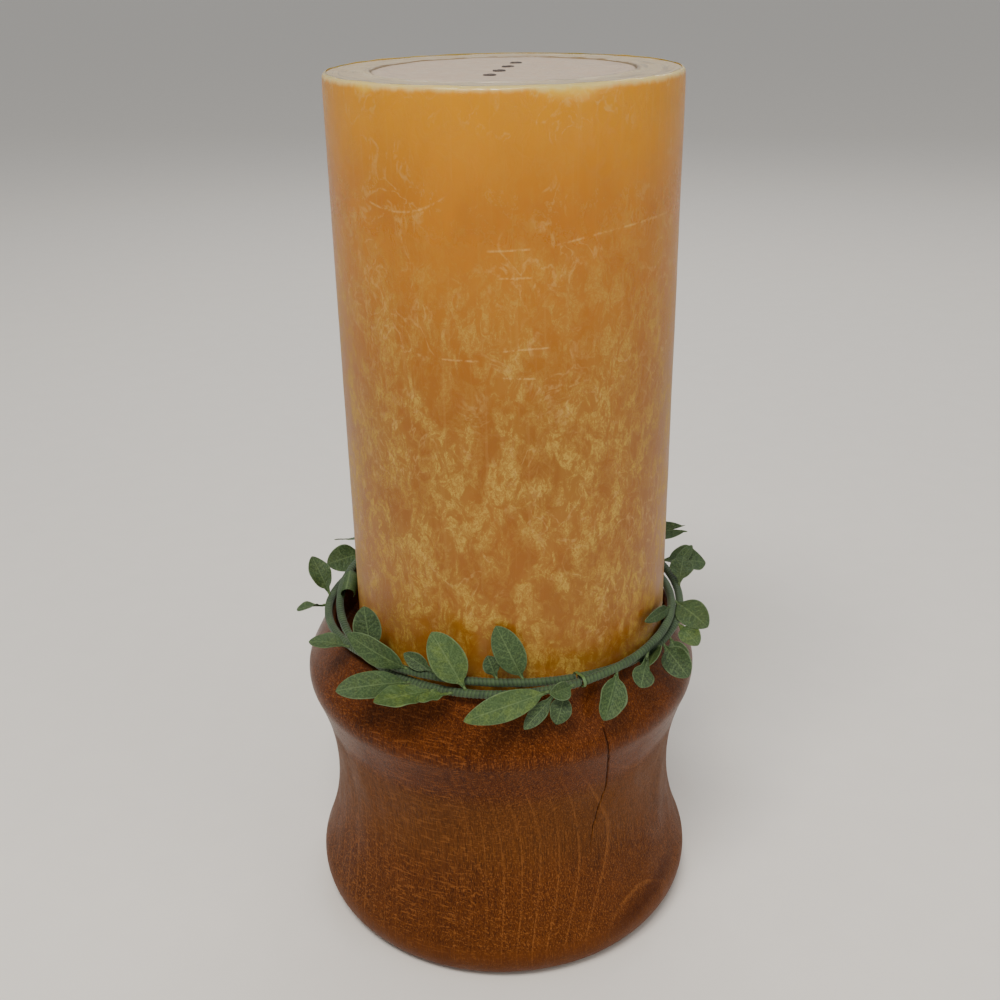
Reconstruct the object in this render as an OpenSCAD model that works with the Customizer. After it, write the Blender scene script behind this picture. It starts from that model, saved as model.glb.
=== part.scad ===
/* [Candle] */
// Diameter of the pillar candle
candle_d = 127; // [120:0.5:127]
// Height of the pillar candle
candle_h = 228.6; // [150:0.1:300]
// Sideways place of the candle's axis from the holder's axis
candle_x = 4.5; // [0:0.1:4.5]
// Depth place of the candle's axis from the holder's axis
candle_y = -0.7; // [-0.7:0.1:0]
// Thickness of the amber dipped skin
dip_t = 1.5; // [0.8:0.1:3]
// Diameter of the inner pour of wax
core_d = 93; // [70:1:110]
// How far the inner pour has sunk below the rim
core_sink = 0.6; // [0.2:0.1:3]

/* [Wicks] */
// Number of wicks in the line
wick_count = 4; // [1:1:5]
// Diameter of a wick
wick_d = 4.5; // [3:0.1:6]
// Distance from one wick to the next
wick_pitch = 15; // [13:0.5:17]
// Turn of the line of wicks from the Y axis towards the X axis
wick_turn = 12; // [-90:1:90]
// How far a trimmed wick stands out of the wax
wick_proud = 0.3; // [0.1:0.1:8]
// Diameter of the metal tab under a wick
tab_d = 12.5; // [10:0.5:12.5]
// Height of the tab's crimped neck
tab_neck_h = 6; // [3:0.5:10]

/* [Holder] */
// Height of the turned holder
holder_h = 131.5; // [130:0.1:135]
// Radius of the belly at the foot
belly_r = 81.7; // [80:0.1:84]
// Height of the belly's widest point
belly_z = 12.7; // [11:0.1:14]
// Radius of the belly's own curve
belly_round = 16; // [14:0.5:17]
// Radius of the waist
neck_r = 72.5; // [70:0.1:74]
// Radius of the hollow curve that makes the waist
neck_arc = 114; // [100:1:120]
// Radius of the bead under the rim
bead_r = 81.6; // [80:0.1:83]
// Radius of the bead's own curve
bead_round = 12; // [10:0.5:13]
// Radius of the rim
rim_r = 71.4; // [71:0.1:73]
// Radius of the seat that the candle stands in
seat_r = 69; // [68.5:0.1:69.2]
// Depth of the seat
seat_depth = 14.8; // [8:0.1:20]
// Thickness of the felt pad
felt_t = 2; // [1:0.1:3]
// How far the felt stands below the wood
felt_proud = 0.8; // [0.3:0.1:0.9]

/* [Leaf ring] */
// Mean radius of the two twisted strands
ring_r = 71; // [70.8:0.1:72]
// Sideways place of the ring's centre
ring_x = 2; // [1.5:0.1:2.5]
// Depth place of the ring's centre
ring_y = -1.5; // [-2:0.1:-1]
// Mean height of the strands
ring_z = 135.5; // [135.3:0.1:140]
// How far each strand wanders in and out
twist_r = 2.5; // [2.3:0.1:2.6]
// How far each strand wanders up and down
twist_z = 2.2; // [2:0.1:2.3]
// Number of times the strands twist round each other
twists = 2; // [1:1:3]
// Where in its twist a strand is at the +X side
twist_phase = -30; // [-180:5:180]
// Diameter of a tape-wrapped strand
strand_d = 3.3; // [2.8:0.1:3.4]
// Diameter of the wire inside a strand
wire_d = 1; // [0.6:0.1:1.2]
// Thickness of a fabric leaf
leaf_t = 0.6; // [0.4:0.1:0.8]
// Diameter of a leaf's wrapped stalk
stalk_d = 1.6; // [1.2:0.1:1.8]
// Place round the ring of the wire tie
tie_at = -67.5; // [-68:0.5:-67]

/* [Hidden] */
candle_r = candle_d / 2;
core_r = core_d / 2;
seat_z = holder_h - seat_depth;
top_z = seat_z + candle_h;
skin_round = 1.2;
tab_t = 0.4;
tab_wall = 0.3;
felt_gap = 5;
rim_round = 1.2;
foot_round = 6;
fine = 128;
leaf_fine = 720;
wick_fine = 48;

// The waist's hollow curve runs smoothly into the belly below it and the bead above it.
neck_c = neck_r + neck_arc;
belly_c = belly_r - belly_round;
bead_c = bead_r - bead_round;
neck_z = belly_z + sqrt(pow(neck_arc + belly_round, 2) - pow(neck_c - belly_c, 2));
bead_z = neck_z + sqrt(pow(neck_arc + bead_round, 2) - pow(neck_c - bead_c, 2));
belly_join = asin((neck_z - belly_z) / (neck_arc + belly_round));
bead_join = asin((bead_z - neck_z) / (neck_arc + bead_round));
shoulder_join = 28;
belly_foot = -38;

function arc(c, z, r, from, to, n) =
    [for (i = [0:n]) let (a = from + (to - from) * i / n) [c + r * cos(a), z + r * sin(a)]];

foot_edge = [belly_c + belly_round * cos(belly_foot), belly_z + belly_round * sin(belly_foot)];
holder_outline = concat(
    [[0, felt_proud]],
    [[foot_edge[0] - foot_round, felt_proud]],
    arc(belly_c, belly_z, belly_round, belly_foot, belly_join, 12),
    arc(neck_c, neck_z, neck_arc, 180 + belly_join, 180 - bead_join, 18),
    arc(bead_c, bead_z, bead_round, -bead_join, shoulder_join, 10),
    arc(rim_r - rim_round, holder_h - rim_round, rim_round, shoulder_join, 90, 4),
    [[0, holder_h]]
);

// The two strands twist round each other, half a turn apart.
strand_r = strand_d / 2;
ring_steps = 60;
tube_sides = 8;
wire_gap = 0.06;
strand_end_gap = 0.3;
function strand_point(side, a) =
    let (r = ring_r + side * twist_r * cos(twists * a + twist_phase))
    [
        ring_x + r * cos(a),
        ring_y + r * sin(a),
        ring_z + side * twist_z * sin(twists * a + twist_phase)
    ];
function unit(v) = v / norm(v);
function strand_way(side, a) = unit(strand_point(side, a + 0.5) - strand_point(side, a - 0.5));
function tube_ring(side, a, r) =
    let (
        way = strand_way(side, a),
        out = unit(cross(way, [0, 0, 1])),
        up = cross(out, way)
    )
    [for (k = [0:tube_sides - 1]) let (t = 360 * (k + 0.5) / tube_sides)
        strand_point(side, a) + r * (cos(t) * out + sin(t) * up)];

// Each leaf: strand (1 outer at the left, -1 inner), place round the ring, stalk, length, width,
// heading of its midrib, rise above level, roll about its midrib and downward bend.
SEEN_LEAVES = [
    [1, 178, 3, 15, 9, 140, 60, -25, 15],
    [1, -176, 3, 10, 7, -150, 15, 20, 20],
    [-1, 148, 4, 15, 12, -145, 0, -55, 20],
    [1, -145, 2, 14, 8, 175, 15, -5, 25],
    [1, -135, 3, 16, 11, 120, 75, -30, 10],
    [1, -121, 2, 24, 11, 170, 25, -95, 15],
    [-1, -120, 2, 26, 12.5, -160, 10, -15, 10],
    [-1, -111, 5, 20, 11.5, -150, 10, -20, 10],
    [1, -112, 3, 11, 6, 160, 25, -60, 5],
    [-1, -106, 3, 11, 6, -150, 10, 0, 10],
    [-1, -102, 3, 22, 13.5, 160, 60, -60, 10],
    [1, -93, 2, 8, 6.5, 165, 70, -60, 10],
    [1, -85, 2, 21, 11.5, 165, 65, -65, 5],
    [-1, -78, 4, 31, 10.5, -150, 0, -50, 10],
    [-1, -76, 4, 14, 6, -140, -30, -45, 5],
    [-1, -71, 2, 9, 6.5, -140, 5, -70, 5],
    [-1, -73, 3, 10, 12, -115, -45, -20, 10],
    [-1, -56, 2, 17, 9.5, -110, -40, -40, 10],
    [-1, -42, 7, 10, 9, -105, -20, -30, 10],
    [1, -34, 2, 14, 11, -112, 5, 45, 10],
    [1, -26, 2, 13, 8, -65, -30, 30, 15],
    [1, -31, 3, 15, 11, -65, -15, 35, 10],
    [-1, -15, 4, 24, 5, -111, 18, -65, 18],
    [-1, -9, 3, 19, 12, -65, 5, 25, 25],
    [1, -18, 3, 11, 8.5, -65, -5, 20, 15],
    [1, 22, 3, 17, 14, 0, 0, 25, 15],
    [1, 4, 3, 12, 10, 75, 30, 0, 10],
    [1, 14, 3, 15, 5, 50, 20, 35, 5],
    [1, 41, 4, 24, 9.5, 0, 10, 30, 10]
];
// Round the back, leaves that lie out on strand -1 take turns with leaves that stand up on strand 1.
back_count = 9;
function back_leaf(i) =
    let (a = 58 + 10 * i, longer = 2 * (i % 3))
    i % 2 == 0 ? [-1, a, 3, 16 + longer, 10, a + 35, 5, 15, 15] : [1, a, 3, 14 + longer, 9, a + 80, 60, -70, 10];
LEAVES = concat(SEEN_LEAVES, [for (i = [0:back_count - 1]) back_leaf(i)]);

// The leaf that has rolled itself into a tube beside the candle.
roll_at = [-63, 8, 140.4];
roll_r = 3.3;
roll_len = 16;
roll_open = 70;
roll_stalk_at = 170;

function two_digits(i) = str(i < 10 ? "0" : "", i);
function leaf_name(i) = str("leaf_", two_digits(i + 1));
function wick_name(i) = str("wick_", i + 1);
function tab_name(i) = str("wick_tab_", i + 1);

module holder_body() {
    color("sienna") difference() {
        rotate_extrude($fn = fine) polygon(holder_outline);
        translate([0, 0, seat_z]) cylinder(h = seat_depth + 1, r = seat_r, $fn = fine);
        translate([0, 0, -1]) cylinder(h = felt_t + 1, r = neck_r - felt_gap, $fn = fine);
    }
}

module felt_pad() {
    color("darkgreen") cylinder(h = felt_t, r = neck_r - felt_gap, $fn = fine);
}

module at_candle(z) {
    translate([candle_x, candle_y, z]) children();
}

// The skin is the amber wax that the candle was dipped in, closed underneath.
module candle_skin() {
    skin_outline = concat(
        [[0, 0]],
        arc(candle_r - skin_round, skin_round, skin_round, -90, 0, 4),
        arc(candle_r - skin_round, candle_h - skin_round, skin_round, 0, 70, 4),
        [[candle_r - dip_t, candle_h]],
        [[candle_r - dip_t, dip_t]],
        [[0, dip_t]]
    );
    color("goldenrod") at_candle(seat_z) rotate_extrude($fn = fine) polygon(skin_outline);
}

module candle_shell() {
    color("tan") at_candle(seat_z + dip_t) difference() {
        cylinder(h = candle_h - 1.5 * dip_t, r = candle_r - dip_t, $fn = fine);
        translate([0, 0, -1]) cylinder(h = candle_h, r = core_r, $fn = fine);
    }
}

module each_wick_place(i) {
    rotate([0, 0, -wick_turn]) translate([0, (i - (wick_count - 1) / 2) * wick_pitch, 0]) children();
}

module candle_core() {
    core_h = candle_h - dip_t - core_sink;
    color("rosybrown") at_candle(seat_z + dip_t) difference() {
        cylinder(h = core_h, r = core_r, $fn = fine);
        for (i = [0:wick_count - 1]) each_wick_place(i) {
            translate([0, 0, -1]) cylinder(h = core_h + 2, d = wick_d, $fn = wick_fine);
            translate([0, 0, -1]) cylinder(h = tab_t + 1, d = tab_d, $fn = wick_fine);
            translate([0, 0, -1]) cylinder(h = tab_neck_h + 1, d = wick_d + 2 * tab_wall, $fn = wick_fine);
        }
    }
}

module wick(i) {
    wick_h = candle_h - dip_t - core_sink + wick_proud - tab_t;
    color("ivory") at_candle(seat_z + dip_t + tab_t) each_wick_place(i)
        cylinder(h = wick_h, d = wick_d, $fn = wick_fine);
}

module wick_tab(i) {
    color("silver") at_candle(seat_z + dip_t) each_wick_place(i) difference() {
        union() {
            cylinder(h = tab_t, d = tab_d, $fn = wick_fine);
            cylinder(h = tab_neck_h, d = wick_d + 2 * tab_wall, $fn = wick_fine);
        }
        translate([0, 0, tab_t]) cylinder(h = tab_neck_h, d = wick_d, $fn = wick_fine);
    }
}

// A tube of radius r along one strand, whose two ends meet under the tie.
module strand_tube(side, r, end_gap) {
    start = tie_at + end_gap;
    step = (360 - 2 * end_gap) / ring_steps;
    points = [for (i = [0:ring_steps]) each tube_ring(side, start + i * step, r)];
    wall = [for (i = [0:ring_steps - 1], k = [0:tube_sides - 1])
        let (
            a = i * tube_sides,
            b = a + tube_sides,
            k_next = (k + 1) % tube_sides
        )
        [a + k, a + k_next, b + k_next, b + k]];
    first_end = [for (k = [tube_sides - 1:-1:0]) k];
    last_end = [for (k = [0:tube_sides - 1]) ring_steps * tube_sides + k];
    polyhedron(points = points, faces = concat(wall, [first_end], [last_end]), convexity = 4);
}

module strand_wrap(side) {
    color("darkolivegreen") difference() {
        strand_tube(side, strand_r, strand_end_gap);
        strand_tube(side, wire_d / 2 + wire_gap, strand_end_gap / 2);
    }
}

module strand_wire(side) {
    color("dimgray") strand_tube(side, wire_d / 2, strand_end_gap);
}

// A slot-shaped outline round both strands where they are tied.
module tie_outline(a, b, r) {
    gap = b - a;
    translate(a) circle(r = r, $fn = 64);
    translate(b) circle(r = r, $fn = 64);
    translate(a) rotate([0, 0, atan2(gap[1], gap[0])]) translate([0, -r]) square([norm(gap), 2 * r]);
}

module ring_tie() {
    tie_w = 1.6;
    tie_t = 0.6;
    tie_gap = 0.25;
    centre = strand_point(1, tie_at);
    other = strand_point(-1, tie_at);
    out = [cos(tie_at), sin(tie_at), 0];
    place = [(other - centre) * out, other[2] - centre[2]];
    color("olivedrab") translate(centre) rotate([90, 0, tie_at]) translate([0, 0, -tie_w / 2])
        linear_extrude(tie_w) difference() {
            tie_outline([0, 0], place, strand_r + tie_gap + tie_t);
            tie_outline([0, 0], place, strand_r + tie_gap);
        }
}

// A pointed oval cut by two equal arcs.
module lens(length, width) {
    r = (length * length + width * width) / (4 * width);
    intersection() {
        translate([length / 2, width / 2 - r]) circle(r = r, $fn = leaf_fine);
        translate([length / 2, r - width / 2]) circle(r = r, $fn = leaf_fine);
    }
}

// A leaf blade along +X that bends down by the given angle over its length.
module blade(length, width, bend) {
    bend_r = length / (bend * PI / 180);
    intersection() {
        translate([0, 0, -length]) linear_extrude(2 * length) lens(bend_r * sin(bend), width);
        translate([0, width, -bend_r]) rotate([90, 0, 0]) difference() {
            cylinder(h = 2 * width, r = bend_r + leaf_t / 2, $fn = leaf_fine);
            translate([0, 0, -1]) cylinder(h = 2 * width + 2, r = bend_r - leaf_t / 2, $fn = leaf_fine);
        }
    }
}

function leaf_way(l) = [cos(l[5]) * cos(l[6]), sin(l[5]) * cos(l[6]), sin(l[6])];
// A stalk leaves its strand on the side that the leaf points to.
function leaf_root(l) =
    let (
        along = strand_way(l[0], l[1]),
        way = leaf_way(l),
        across = unit(way - (way * along) * along)
    )
    strand_point(l[0], l[1]) + (strand_r - 0.2) * across;

module leaf(l) {
    overlap = 3;
    color("seagreen") translate(leaf_root(l)) rotate([0, 0, l[5]]) rotate([0, -l[6], 0]) rotate([l[7], 0, 0]) {
        rotate([0, 90, 0]) cylinder(h = l[2] + overlap, d = stalk_d, $fn = 24);
        translate([l[2], 0, 0]) blade(l[3], l[4], l[8]);
    }
}

// A rod of diameter d from one point to another.
module rod(from, to, d) {
    way = to - from;
    translate(from) rotate([0, 0, atan2(way[1], way[0])]) rotate([0, acos(way[2] / norm(way)), 0])
        cylinder(h = norm(way), d = d, $fn = 24);
}

module curled_leaf() {
    wall_r = roll_r - leaf_t / 2;
    stalk_foot = strand_point(-1, roll_stalk_at);
    stalk_top = roll_at - [wall_r * cos(15), stalk_d, wall_r * sin(15)];
    stalk_way = unit(stalk_top - stalk_foot);
    color("seagreen") {
        translate(roll_at) rotate([90, 0, 0]) difference() {
            cylinder(h = roll_len, r = roll_r, $fn = 64);
            translate([0, 0, -1]) cylinder(h = roll_len + 2, r = roll_r - leaf_t, $fn = 64);
            rotate([0, 0, 180 + roll_open / 2]) translate([0, 0, -1]) cube([2 * roll_r, 2 * roll_r, roll_len + 2]);
        }
        rod(stalk_foot + (strand_r - 0.2) * stalk_way, stalk_top, stalk_d / 2);
    }
}

holder_body();
felt_pad();
candle_skin();
candle_shell();
candle_core();
for (i = [0:wick_count - 1]) {
    wick(i);
    wick_tab(i);
}
strand_wrap(1);  // strand_wrap_a
strand_wrap(-1);  // strand_wrap_b
strand_wire(1);  // strand_wire_a
strand_wire(-1);  // strand_wire_b
ring_tie();
curled_leaf();
for (i = [0:len(LEAVES) - 1]) {
    leaf(LEAVES[i]);
}
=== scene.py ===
import math
import random

import bpy
import numpy as np
from mathutils import Matrix, Vector, noise


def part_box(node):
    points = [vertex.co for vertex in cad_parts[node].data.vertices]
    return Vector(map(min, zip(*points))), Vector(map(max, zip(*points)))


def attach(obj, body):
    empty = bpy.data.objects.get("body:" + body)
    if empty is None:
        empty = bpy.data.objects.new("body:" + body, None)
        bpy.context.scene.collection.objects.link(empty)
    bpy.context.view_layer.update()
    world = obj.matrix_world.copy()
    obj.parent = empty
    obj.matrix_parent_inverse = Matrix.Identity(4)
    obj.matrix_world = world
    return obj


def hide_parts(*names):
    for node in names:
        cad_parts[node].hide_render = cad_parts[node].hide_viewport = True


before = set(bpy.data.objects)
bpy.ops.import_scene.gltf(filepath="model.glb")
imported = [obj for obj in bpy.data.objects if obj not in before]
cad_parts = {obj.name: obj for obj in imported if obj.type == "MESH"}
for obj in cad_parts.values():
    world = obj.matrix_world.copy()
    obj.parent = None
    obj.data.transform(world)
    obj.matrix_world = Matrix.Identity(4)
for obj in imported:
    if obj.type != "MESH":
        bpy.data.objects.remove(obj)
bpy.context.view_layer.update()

MM = 0.001

# Sizes that the CAD part is drawn with.
CANDLE_X, CANDLE_Y, CANDLE_R = 4.5 * MM, -0.7 * MM, 63.5 * MM
CORE_R = 46.5 * MM
SKIN_T = 1.5 * MM
WICK_COUNT, WICK_PITCH, WICK_TURN = 4, 15 * MM, math.radians(12)
RING_X, RING_Y, RING_Z, RING_R = 2 * MM, -1.5 * MM, 135.5 * MM, 71 * MM
TWIST_R, TWIST_Z, TWISTS, TWIST_PHASE = 2.5 * MM, 2.2 * MM, 2, math.radians(-30)
STRAND_R = 1.65 * MM
TIE_AT = math.radians(-67.5)


# ---------------------------------------------------------------- meshes

def new_piece(name, points, faces, material, body, replaced=()):
    """A smooth-shaded mesh piece that rides on a body and stands for the CAD nodes that it replaces."""
    mesh = bpy.data.meshes.new(name)
    mesh.from_pydata([tuple(p) for p in points], [], faces)
    mesh.validate()
    mesh.shade_smooth()
    mesh.materials.append(material)
    piece = bpy.data.objects.new(name, mesh)
    bpy.context.collection.objects.link(piece)
    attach(piece, body)
    if replaced:
        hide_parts(*replaced)
    return piece


def subdivide(outline, step):
    """The outline's points with others put between them, at most step apart."""
    points = [outline[0]]
    for a, b in zip(outline, outline[1:]):
        count = max(1, math.ceil(math.dist(a, b) / step))
        points += [(a[0] + (b[0] - a[0]) * i / count, a[1] + (b[1] - a[1]) * i / count)
                   for i in range(1, count + 1)]
    return points


def lathe(outline, angles, shape):
    """Points and faces of an outline of (radius, height) turned about an axis. The outline starts and ends on
    the axis. shape(radius, angle, height) gives each point, so that it can move it."""
    inner = outline[1:-1]
    count = len(angles)
    points = [shape(r, a, z) for r, z in inner for a in angles]
    first, last = len(points), len(points) + 1
    points += [shape(0, 0, outline[0][1]), shape(0, 0, outline[-1][1])]
    faces = []
    for i in range(len(inner) - 1):
        for k in range(count):
            n = (k + 1) % count
            faces.append((i * count + k, i * count + n, (i + 1) * count + n, (i + 1) * count + k))
    top = (len(inner) - 1) * count
    for k in range(count):
        n = (k + 1) % count
        faces.append((first, n, k))
        faces.append((last, top + k, top + n))
    return points, faces


def even_angles(count):
    return [2 * math.pi * k / count for k in range(count)]


def bumps(x, y, z, size):
    """Smooth noise from -1 to 1 with lumps of about that size in metres."""
    return noise.noise(Vector((x, y, z)) / size)


# ---------------------------------------------------------------- materials

class Nodes:
    """A short way to write the nodes of one material."""

    def __init__(self, name):
        self.material = bpy.data.materials.new(name)
        self.material.use_nodes = True
        self.tree = self.material.node_tree
        self.shader = self.tree.nodes["Principled BSDF"]

    def set(self, **values):
        """Sets the shader's own sockets; a socket's spaces are written as underscores."""
        for key, value in values.items():
            self.plug(self.shader.inputs[key.replace("_", " ")], value)

    def plug(self, socket, value):
        if isinstance(value, bpy.types.NodeSocket):
            self.tree.links.new(value, socket)
        elif isinstance(value, tuple) and len(value) == 3 and socket.type == "RGBA":
            socket.default_value = (*value, 1)
        else:
            socket.default_value = value

    def node(self, kind, *values, **settings):
        made = self.tree.nodes.new("ShaderNode" + kind)
        for key, value in settings.items():
            setattr(made, key, value)
        for socket, value in zip(made.inputs, values):
            if value is not None:
                self.plug(socket, value)
        return made

    def place(self):
        """The point's place in metres, in the frame that the part is drawn in."""
        return self.node("TexCoord").outputs["Object"]

    def attribute(self, name):
        return self.node("Attribute", attribute_name=name).outputs["Vector"]

    def parts(self, vector):
        return self.node("SeparateXYZ", vector).outputs

    def vector(self, x, y, z):
        return self.node("CombineXYZ", x, y, z).outputs[0]

    def math(self, operation, a, b=None, c=None):
        return self.node("Math", a, b, c, operation=operation).outputs[0]

    def scaled(self, vector, x, y, z):
        """The place divided by a size along each axis, in metres."""
        return self.node("VectorMath", vector, (1 / x, 1 / y, 1 / z), operation="MULTIPLY").outputs[0]

    def noise(self, vector, detail=3.0, rough=0.55, twist=0.0):
        made = self.node("TexNoise", vector)
        self.plug(made.inputs["Scale"], 1.0)
        self.plug(made.inputs["Detail"], detail)
        self.plug(made.inputs["Roughness"], rough)
        self.plug(made.inputs["Distortion"], twist)
        return made.outputs[0]

    def step(self, value, low, high, to_low=0.0, to_high=1.0):
        """value taken smoothly from to_low, at low, to to_high, at high."""
        made = self.node("MapRange", value, low, high, to_low, to_high, interpolation_type="SMOOTHSTEP")
        return made.outputs[0]

    def mix(self, amount, a, b, blend="MIX"):
        made = self.node("Mix", data_type="RGBA", blend_type=blend)
        self.plug(made.inputs[0], amount)
        self.plug(made.inputs[6], a)
        self.plug(made.inputs[7], b)
        return made.outputs[2]

    def bump(self, height, depth, under=None):
        """A normal from a height of 0 to 1, where 1 stands depth metres proud."""
        made = self.node("Bump")
        self.plug(made.inputs["Strength"], 1.0)
        self.plug(made.inputs["Distance"], depth)
        self.plug(made.inputs["Height"], height)
        if under is not None:
            self.plug(made.inputs["Normal"], under)
        return made.outputs[0]


PALE_GRAIN = (0.330, 0.115, 0.0260)


def turned_wood():
    """Open-pored hardwood cut from a big log, so that its growth rings are wide arcs about a far pith."""
    n = Nodes("turned_wood")
    x, y, z = n.parts(n.place())
    pith_x, pith_y, lean = 168 * MM, -157 * MM, 0.06
    wander = n.math("MULTIPLY", n.noise(n.scaled(n.place(), 0.05, 0.05, 0.16), 2), 9 * MM)
    dx = n.math("ADD", n.math("SUBTRACT", x, pith_x), n.math("MULTIPLY", z, lean))
    dy = n.math("SUBTRACT", y, pith_y)
    reach = n.math("SQRT", n.math("ADD", n.math("MULTIPLY", dx, dx), n.math("MULTIPLY", dy, dy)))
    around = n.math("MULTIPLY", n.math("ARCTAN2", dy, dx), 0.23)
    log = n.vector(reach, around, z)

    growth = n.math("FRACT", n.math("MULTIPLY", n.math("ADD", reach, wander), 1 / (5.6 * MM)))
    line = n.math("MULTIPLY", n.step(growth, 0.84, 0.95), n.step(growth, 1.0, 0.97))
    broken = n.step(n.noise(n.scaled(log, 0.0005, 0.0005, 0.0024), 3, 0.65), 0.42, 0.60)
    faint = n.step(n.noise(n.scaled(log, 0.018, 0.05, 0.10), 1), 0.35, 0.62, 0.25, 1.0)
    line = n.math("MULTIPLY", line, n.math("MULTIPLY", n.math("ADD", broken, 0.22), faint))
    fine_growth = n.step(n.noise(n.scaled(log, 0.0007, 0.006, 0.10), 3, 0.6), 0.36, 0.68)
    fibres = n.step(n.noise(n.scaled(log, 0.0009, 0.0010, 0.030), 5, 0.72), 0.34, 0.64)
    pores = n.step(n.noise(n.scaled(log, 0.00026, 0.00034, 0.0042), 2), 0.55, 0.67)
    dust = n.step(n.noise(n.scaled(log, 0.00028, 0.0004, 0.0028), 2), 0.56, 0.68)
    rays = n.step(n.noise(n.scaled(log, 0.009, 0.0007, 0.0007), 2), 0.54, 0.66)
    clouds = n.step(n.noise(n.scaled(n.place(), 0.03, 0.03, 0.05), 3), 0.3, 0.7)

    heart = n.mix(clouds, (0.056, 0.0128, 0.0020), (0.088, 0.0222, 0.0032))
    heart = n.mix(n.math("MULTIPLY", fine_growth, 0.45), heart, (0.036, 0.0085, 0.0012))
    heart = n.mix(n.math("MULTIPLY", fibres, 0.45), heart, (0.175, 0.0520, 0.0080))
    heart = n.mix(n.math("MULTIPLY", dust, 0.52), heart, PALE_GRAIN)
    heart = n.mix(n.math("MULTIPLY", rays, 0.42), heart, PALE_GRAIN)
    line = n.math("MULTIPLY", line, n.step(z, 82 * MM, 92 * MM, 0.44, 0.22))
    heart = n.mix(line, heart, PALE_GRAIN)
    heart = n.mix(n.math("MULTIPLY", pores, 0.80), heart, (0.012, 0.0026, 0.0006))
    bead = n.math("MULTIPLY", n.step(z, 84 * MM, 92 * MM), 0.40)
    heart = n.mix(bead, heart, (0.80, 0.58, 0.60), "MULTIPLY")
    # Painted light: the neck faces up to the lamps, so it is painted lighter here as a painted reflection.
    lit_neck = n.math("MULTIPLY", n.step(z, 40 * MM, 62 * MM), n.step(z, 88 * MM, 80 * MM))
    heart = n.mix(n.math("MULTIPLY", lit_neck, 0.30), heart, (0.135, 0.0480, 0.0070))
    foot = n.math("MULTIPLY", n.step(z, 18.0 * MM, 14.5 * MM), 0.55)
    heart = n.mix(foot, heart, (0.122, 0.0330, 0.0040))
    wedge = streak(n, x, z, (38 * MM, 12 * MM), (80 * MM, 26 * MM), 6.0 * MM, y)
    heart = n.mix(n.math("MULTIPLY", wedge, 0.55), heart, (0.040, 0.0070, 0.0010))
    crack = n.step(n.node("Attribute", attribute_name="crack").outputs["Fac"], 0.15, 0.7)
    heart = n.mix(n.math("MULTIPLY", crack, 0.85), heart, (0.010, 0.003, 0.0010))

    depth = n.math("SUBTRACT", n.math("MULTIPLY", rays, 0.25), pores)
    gloss = n.math("SUBTRACT", n.noise(n.scaled(n.place(), 0.012, 0.012, 0.02), 3), bead)
    n.set(Base_Color=heart, Roughness=n.step(gloss, 0.0, 0.8, 0.30, 0.56), Specular_IOR_Level=0.08,
          Normal=n.bump(depth, 0.00005))
    return n.material


def streak(n, x, z, start, end, width, y):
    """1 along a tapering stroke on the front, from one (x, z) point to another, and 0 away from it."""
    length = math.dist(start, end)
    along_x, along_z = (end[0] - start[0]) / length, (end[1] - start[1]) / length
    from_x = n.math("SUBTRACT", x, start[0])
    from_z = n.math("SUBTRACT", z, start[1])
    along = n.math("ADD", n.math("MULTIPLY", from_x, along_x), n.math("MULTIPLY", from_z, along_z))
    across = n.math("SUBTRACT", n.math("MULTIPLY", from_z, along_x), n.math("MULTIPLY", from_x, along_z))
    ends = n.math("MULTIPLY", n.step(along, 0, 0.35 * length), n.step(along, length, 0.65 * length))
    side = n.step(n.math("ABSOLUTE", across), width, 0.2 * width)
    front = n.step(y, 0.0, -5 * MM)
    return n.math("MULTIPLY", n.math("MULTIPLY", ends, side), front)


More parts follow.
